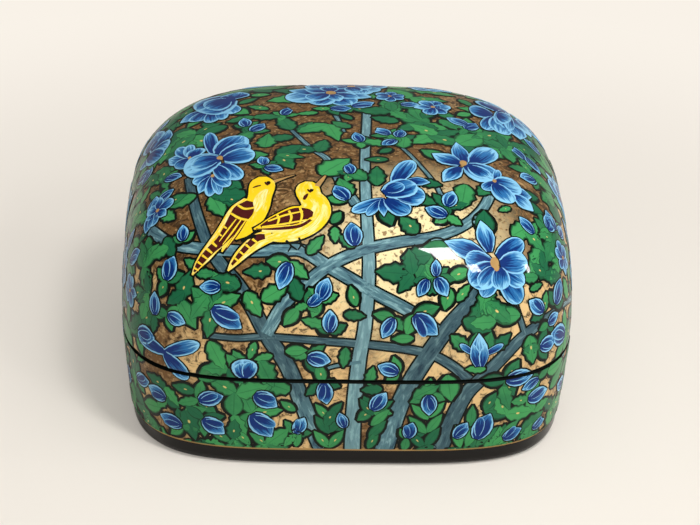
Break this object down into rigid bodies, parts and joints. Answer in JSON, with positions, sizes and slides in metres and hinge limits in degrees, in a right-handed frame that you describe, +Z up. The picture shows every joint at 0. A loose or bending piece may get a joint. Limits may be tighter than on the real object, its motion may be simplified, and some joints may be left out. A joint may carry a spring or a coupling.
{
  "type": "lidded trinket box",
  "caption": "Square domed papier-mache trinket box with a lift-off lid located by an inner collar, painted all over with flowers, leaves and birds.",
  "frame": {"origin": "centre of the footprint, on the surface the box stands on", "axes": "+Z up towards the lid's crown, +X to the right as seen from the front, -Y towards the front"},
  "size_m": [0.1201, 0.116, 0.0715],
  "materials": {
    "painted_lacquer": "painted and varnished, glossy",
    "black_lacquer": "black lacquer, glossy"
  },
  "bodies": {
    "base": {"base_shell": "painted_lacquer", "foot_ring": "black_lacquer", "floor_panel": "black_lacquer", "collar": "black_lacquer"},
    "lid": {"lid_shell": "painted_lacquer"}
  },
  "joints": [
    {"name": "lid_lift", "type": "slide", "parent": "base", "child": "lid", "axis": [0, 0, 1], "range_m": [0, 0.07]}
  ]
}
